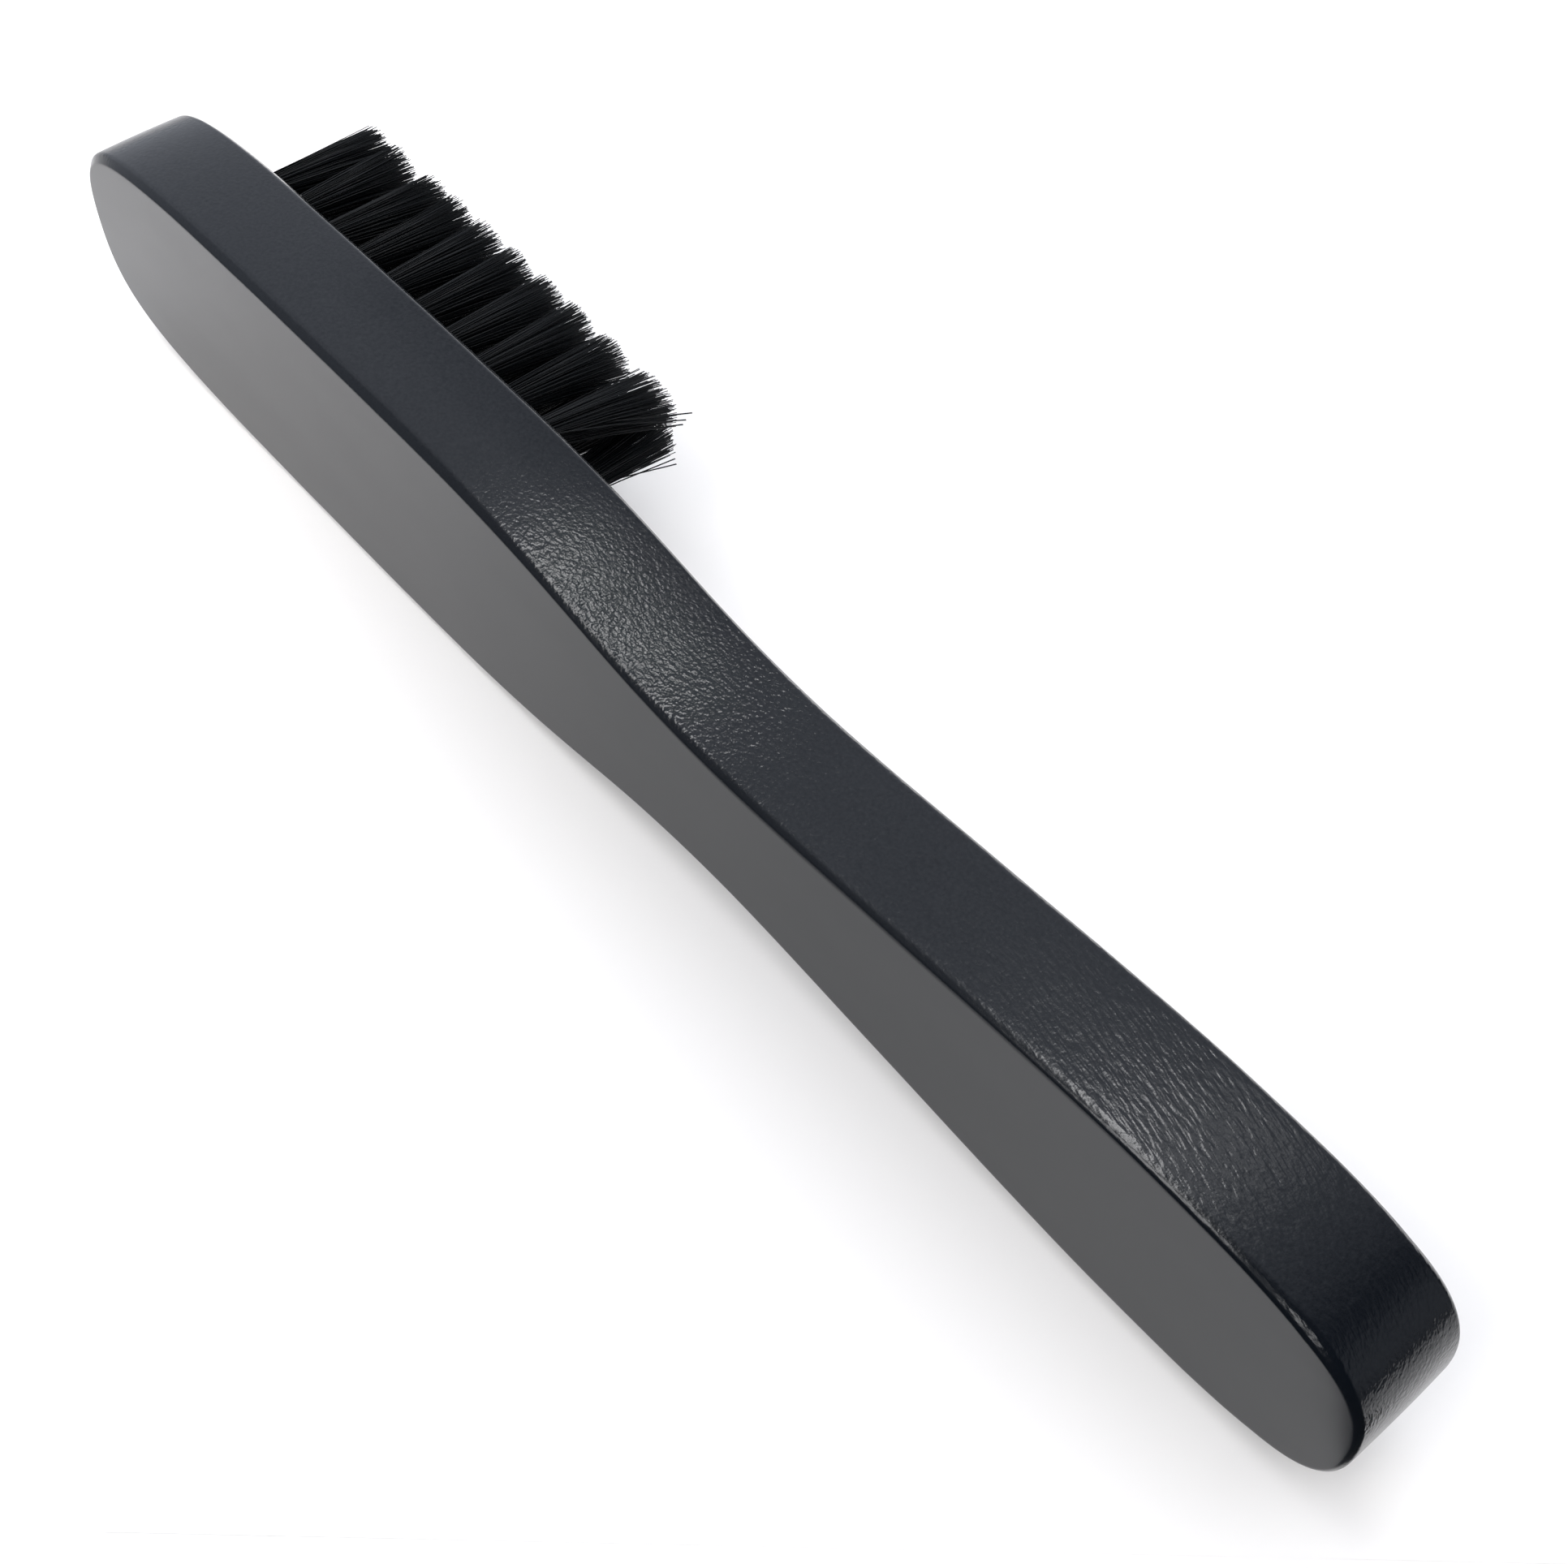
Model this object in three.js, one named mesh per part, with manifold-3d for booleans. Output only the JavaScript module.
// Hand brush of the barber's kind: one waisted block of painted wood, flat on its
// back and rounded along its edges, with two staggered rows of tufts in its head.
//
// The tufts are anchor set. Each one is folded over a short flat wire, driven fold
// first into a blind drilled hole, and held there by the wire's ends, which bite
// into the wood on both sides of the hole.
//
// Everything is built in the drilling machine's position, back down and bristles up:
// X runs from the toe (the head's end) to the heel, Y across, Z from the flat back
// to the bristle tips. At the end the brush is laid on one long edge, as it is
// shown: X still runs toe to heel, Y from the back to the tips, Z up.
// All lengths are in millimetres.

import * as THREE from 'three';
import { mergeVertices } from 'three/addons/utils/BufferGeometryUtils.js';
import Module from 'manifold-3d';

const wasm = await Module();
wasm.setup();

// ---------------------------------------------------------------- driving dimensions

// Handle block. Stations are measured from the toe, the grip's from the heel.
const LENGTH = 178;
const THICKNESS = 11.6;
const EDGE_RADIUS = 0.9;
const HEAD_WIDTH = 27.7;
const HEAD_STATION = 54.5;
const WAIST_WIDTH = 17.2;
const WAIST_STATION = 107.5;
const GRIP_WIDTH = 23.3;
const GRIP_TO_HEEL = 25.5;

// Outline fullness: how far each curve leaves its station before it turns.
const HEAD_SWEEP_TO_TOE = 45;
const HEAD_SWEEP_TO_WAIST = 32;
const WAIST_SWEEP_TO_HEAD = 22;
const WAIST_SWEEP_TO_GRIP = 10.5;
const GRIP_SWEEP_TO_WAIST = 11.5;
const GRIP_SWEEP_TO_HEEL = 19.5;
const TOE_SWEEP = 13.85;
const HEEL_SWEEP = 9.8;

// Tuft pattern.
const TUFTS_PER_ROW = 10;
const FIRST_TUFT_STATION = 12.6;
const TUFT_PITCH = 5.33;
const ROW_SPACING = 6.8;

// Drilled holes.
const HOLE_DIAMETER = 2.8;
const HOLE_DEPTH = 7.6;
const DRILL_POINT_ANGLE = THREE.MathUtils.degToRad(118);

// Bristles, and the slice of backing that joins a row of them.
const BRISTLE_LENGTH = 16.2;
const STRANDS_PER_TUFT = 20;
const STRAND_THICKNESS = 0.24;
const TUFT_ROOT_DIAMETER = 2.3;
const TUFT_TIP_DIAMETER = 4.7;
const SLICE_WIDTH = 4.6;
const SLICE_THICKNESS = 1.2;

// Flat wire anchors.
const ANCHOR_HEIGHT = 1.3;
const ANCHOR_THICKNESS = 0.35;
const ANCHOR_BITE = 0.5;
const ANCHOR_LIFT = 1.0;

// Clearance that every separate piece keeps to the wood and to its neighbours.
const FIT_GAP = 0.3;

// Facets.
const OUTLINE_STEPS = 14;
const EDGE_STEPS = 4;
const HOLE_SIDES = 16;
const SLICE_END_STEPS = 8;

// ---------------------------------------------------------------- worked out from them

const HEAD_HALF = HEAD_WIDTH / 2;
const WAIST_HALF = WAIST_WIDTH / 2;
const GRIP_HALF = GRIP_WIDTH / 2;
const GRIP_STATION = LENGTH - GRIP_TO_HEEL;
const TIP_HEIGHT = THICKNESS + BRISTLE_LENGTH;
const ROW_LENGTH = TUFT_PITCH * (TUFTS_PER_ROW - 1);
const STAGGER = TUFT_PITCH / 2;
const POCKET_FLOOR = THICKNESS - SLICE_THICKNESS - FIT_GAP;
const SLICE_FLOOR = THICKNESS - SLICE_THICKNESS;
const HOLE_FLOOR = THICKNESS - HOLE_DEPTH;
const ROOT_PLUG_RADIUS = HOLE_DIAMETER / 2 - FIT_GAP;
const ROOT_PLUG_FLOOR = HOLE_FLOOR + FIT_GAP;
const ANCHOR_LENGTH = HOLE_DIAMETER + 2 * ANCHOR_BITE;
const ANCHOR_FLOOR = ROOT_PLUG_FLOOR + ANCHOR_LIFT;
const STRAND_SINK = SLICE_THICKNESS / 2;

// The upper row is the one that lies uppermost once the brush is on its edge.
const ROWS = [
  { name: 'upper', y: -ROW_SPACING / 2, firstTuft: FIRST_TUFT_STATION },
  { name: 'lower', y: ROW_SPACING / 2, firstTuft: FIRST_TUFT_STATION + STAGGER },
];

// ---------------------------------------------------------------- materials

function paintedWood() {
  return new THREE.MeshStandardMaterial({ color: 0x2b2d30, roughness: 0.45, metalness: 0 });
}

function blackBristle() {
  return new THREE.MeshStandardMaterial({ color: 0x111315, roughness: 0.55, metalness: 0 });
}

function flatWire() {
  return new THREE.MeshStandardMaterial({ color: 0xb8bbbe, roughness: 0.35, metalness: 1 });
}

// ---------------------------------------------------------------- solids

function toSolid(geometry) {
  const plain = geometry.index ? geometry.clone() : geometry;
  plain.deleteAttribute('normal');
  plain.deleteAttribute('uv');
  const merged = mergeVertices(plain, 1e-4);
  return new wasm.Manifold(new wasm.Mesh({
    numProp: 3,
    vertProperties: new Float32Array(merged.attributes.position.array),
    triVerts: new Uint32Array(merged.index.array),
  }));
}

function toGeometry(solid) {
  const mesh = solid.getMesh();
  const geometry = new THREE.BufferGeometry();
  geometry.setAttribute('position', new THREE.BufferAttribute(mesh.vertProperties, 3));
  geometry.setIndex(new THREE.BufferAttribute(mesh.triVerts, 1));
  geometry.computeVertexNormals();
  return geometry;
}

function boxSolid(sizeX, sizeY, sizeZ, x, y, bottom) {
  const box = new THREE.BoxGeometry(sizeX, sizeY, sizeZ);
  box.translate(x, y, bottom + sizeZ / 2);
  return toSolid(box);
}

// ---------------------------------------------------------------- handle block

// Half the outline, toe to heel, as four curves that run level at each station and
// square across the centre line at the two ends. side is +1 or -1.
function outlineCurves(side) {
  const point = (x, half) => new THREE.Vector2(x, side * half);
  const toe = [point(0, 0), point(0, TOE_SWEEP)];
  const headIn = [point(HEAD_STATION - HEAD_SWEEP_TO_TOE, HEAD_HALF), point(HEAD_STATION, HEAD_HALF)];
  const headOut = point(HEAD_STATION + HEAD_SWEEP_TO_WAIST, HEAD_HALF);
  const waistIn = [point(WAIST_STATION - WAIST_SWEEP_TO_HEAD, WAIST_HALF), point(WAIST_STATION, WAIST_HALF)];
  const waistOut = point(WAIST_STATION + WAIST_SWEEP_TO_GRIP, WAIST_HALF);
  const gripIn = [point(GRIP_STATION - GRIP_SWEEP_TO_WAIST, GRIP_HALF), point(GRIP_STATION, GRIP_HALF)];
  const gripOut = point(GRIP_STATION + GRIP_SWEEP_TO_HEEL, GRIP_HALF);
  const heel = [point(LENGTH, HEEL_SWEEP), point(LENGTH, 0)];
  return [
    new THREE.CubicBezierCurve(...toe, ...headIn),
    new THREE.CubicBezierCurve(headIn[1], headOut, ...waistIn),
    new THREE.CubicBezierCurve(waistIn[1], waistOut, ...gripIn),
    new THREE.CubicBezierCurve(gripIn[1], gripOut, ...heel),
  ];
}

function reversed(curve) {
  return new THREE.CubicBezierCurve(curve.v3, curve.v2, curve.v1, curve.v0);
}

// The block is the outline with both long edges rounded to the same radius.
function handleBlock() {
  const shape = new THREE.Shape();
  shape.curves.push(...outlineCurves(-1));
  shape.curves.push(...outlineCurves(1).reverse().map(reversed));
  const block = new THREE.ExtrudeGeometry(shape, {
    depth: THICKNESS - 2 * EDGE_RADIUS,
    curveSegments: OUTLINE_STEPS,
    bevelEnabled: true,
    bevelThickness: EDGE_RADIUS,
    bevelSize: EDGE_RADIUS,
    bevelOffset: -EDGE_RADIUS,
    bevelSegments: EDGE_STEPS,
  });
  block.translate(0, 0, EDGE_RADIUS);
  return toSolid(block);
}

// A blind hole with the cone that the drill's point leaves at its bottom.
function drilledHole(x, y) {
  const radius = HOLE_DIAMETER / 2;
  const cone = radius / Math.tan(DRILL_POINT_ANGLE / 2);
  const profile = [
    new THREE.Vector2(0, HOLE_FLOOR - cone),
    new THREE.Vector2(radius, HOLE_FLOOR),
    new THREE.Vector2(radius, THICKNESS),
    new THREE.Vector2(0, THICKNESS),
  ];
  return toSolid(uprightLathe(profile, HOLE_SIDES, x, y));
}

// The scores that the anchor's ends cut down both walls of the hole.
function anchorScore(x, y) {
  const bottom = ANCHOR_FLOOR - FIT_GAP;
  return boxSolid(
    ANCHOR_THICKNESS + 2 * FIT_GAP,
    ANCHOR_LENGTH + 2 * FIT_GAP,
    THICKNESS - bottom,
    x, y, bottom,
  );
}

// A lathe profile in (radius, height), turned round a vertical axis at x, y.
function uprightLathe(profile, sides, x, y) {
  const lathe = new THREE.LatheGeometry(profile, sides);
  lathe.rotateX(Math.PI / 2);
  lathe.translate(x, y, 0);
  return lathe;
}

// A strip with round ends under a whole row, grown by margin all round.
function rowStrip(row, margin, bottom, top) {
  const radius = SLICE_WIDTH / 2 + margin;
  const shape = new THREE.Shape();
  shape.absarc(row.firstTuft, row.y, radius, Math.PI / 2, 1.5 * Math.PI, false);
  shape.absarc(row.firstTuft + ROW_LENGTH, row.y, radius, 1.5 * Math.PI, 2.5 * Math.PI, false);
  const strip = new THREE.ExtrudeGeometry(shape, {
    depth: top - bottom,
    curveSegments: SLICE_END_STEPS,
    bevelEnabled: false,
  });
  strip.translate(0, 0, bottom);
  return toSolid(strip);
}

function tuftStations(row) {
  return Array.from({ length: TUFTS_PER_ROW }, (_, i) => row.firstTuft + i * TUFT_PITCH);
}

function handle() {
  let block = handleBlock();
  for (const row of ROWS) {
    block = block.subtract(rowStrip(row, FIT_GAP, POCKET_FLOOR, THICKNESS + FIT_GAP));
    for (const x of tuftStations(row)) {
      block = block.subtract(drilledHole(x, row.y)).subtract(anchorScore(x, row.y));
    }
  }
  return toGeometry(block);
}

// ---------------------------------------------------------------- bristle rows

// The folded root: both legs of the tuft side by side down the hole, joined by the
// round fold under the anchor, with the window through which the anchor passes.
function foldedRoot(x, y) {
  const foldSteps = 3;
  const profile = [];
  for (let i = 0; i <= foldSteps; i += 1) {
    const angle = (i / foldSteps) * (Math.PI / 2);
    profile.push(new THREE.Vector2(
      ROOT_PLUG_RADIUS * Math.sin(angle),
      ROOT_PLUG_FLOOR + ROOT_PLUG_RADIUS * (1 - Math.cos(angle)),
    ));
  }
  profile.push(new THREE.Vector2(ROOT_PLUG_RADIUS, SLICE_FLOOR + STRAND_SINK));
  profile.push(new THREE.Vector2(0, SLICE_FLOOR + STRAND_SINK));
  const root = toSolid(uprightLathe(profile, HOLE_SIDES, x, y));
  const window = boxSolid(
    ANCHOR_THICKNESS + 2 * FIT_GAP,
    2 * HOLE_DIAMETER,
    ANCHOR_HEIGHT + 2 * FIT_GAP,
    x, y, ANCHOR_FLOOR - FIT_GAP,
  );
  return root.subtract(window);
}

// Strands fill a circle evenly, each a golden angle on from the one before. A strand
// keeps its place in the circle from root to tip while the circle grows, so no two
// strands cross.
function strandPlaces() {
  const goldenAngle = Math.PI * (3 - Math.sqrt(5));
  return Array.from({ length: STRANDS_PER_TUFT }, (_, i) => {
    const reach = Math.sqrt((i + 0.5) / STRANDS_PER_TUFT);
    return new THREE.Vector2(Math.cos(i * goldenAngle), Math.sin(i * goldenAngle)).multiplyScalar(reach);
  });
}

// All strands of one row in one geometry: square prisms from inside the slice to the
// trimmed plane of the tips.
function strands(row) {
  const positions = [];
  const index = [];
  const half = STRAND_THICKNESS / 2;
  const corners = [[-half, -half], [half, -half], [half, half], [-half, half]];
  const rootReach = (TUFT_ROOT_DIAMETER - STRAND_THICKNESS) / 2;
  const tipReach = (TUFT_TIP_DIAMETER - STRAND_THICKNESS) / 2;
  const rings = [
    { z: THICKNESS - STRAND_SINK, reach: rootReach },
    { z: THICKNESS, reach: rootReach },
    { z: TIP_HEIGHT, reach: tipReach },
  ];
  for (const x of tuftStations(row)) {
    for (const place of strandPlaces()) {
      const first = positions.length / 3;
      for (const ring of rings) {
        for (const [dx, dy] of corners) {
          positions.push(x + place.x * ring.reach + dx, row.y + place.y * ring.reach + dy, ring.z);
        }
      }
      index.push(first, first + 2, first + 1, first, first + 3, first + 2);
      for (let ring = 0; ring < rings.length - 1; ring += 1) {
        for (let side = 0; side < 4; side += 1) {
          const a = first + ring * 4 + side;
          const b = first + ring * 4 + (side + 1) % 4;
          index.push(a, b, b + 4, a, b + 4, a + 4);
        }
      }
      const last = first + (rings.length - 1) * 4;
      index.push(last, last + 1, last + 2, last, last + 2, last + 3);
    }
  }
  const geometry = new THREE.BufferGeometry();
  geometry.setAttribute('position', new THREE.Float32BufferAttribute(positions, 3));
  geometry.setIndex(index);
  return geometry;
}

function bristleRow(row) {
  let solid = rowStrip(row, 0, SLICE_FLOOR, THICKNESS);
  for (const x of tuftStations(row)) {
    solid = solid.add(foldedRoot(x, row.y));
  }
  return toGeometry(solid.add(toSolid(strands(row))));
}

// ---------------------------------------------------------------- anchors

function anchor() {
  return new THREE.BoxGeometry(ANCHOR_THICKNESS, ANCHOR_LENGTH, ANCHOR_HEIGHT);
}

// ---------------------------------------------------------------- assembly

const upright = new THREE.Group();

function place(name, geometry, material) {
  const mesh = new THREE.Mesh(geometry, material);
  mesh.name = name;
  upright.add(mesh);
  return mesh;
}

place('handle', handle(), paintedWood());

for (const row of ROWS) {
  place(`bristle_row_${row.name}`, bristleRow(row), blackBristle());
  tuftStations(row).forEach((x, i) => {
    const number = String(i + 1).padStart(2, '0');
    const wire = place(`anchor_${row.name}_${number}`, anchor(), flatWire());
    wire.position.set(x, row.y, ANCHOR_FLOOR + ANCHOR_HEIGHT / 2);
  });
}

// Laid on its long edge: the head's widest place touches the ground, and the origin is
// on the ground under the middle of the brush.
upright.rotation.x = -Math.PI / 2;
upright.position.set(-LENGTH / 2, -TIP_HEIGHT / 2, HEAD_HALF);

const brush = new THREE.Group();
brush.add(upright);

export default brush;
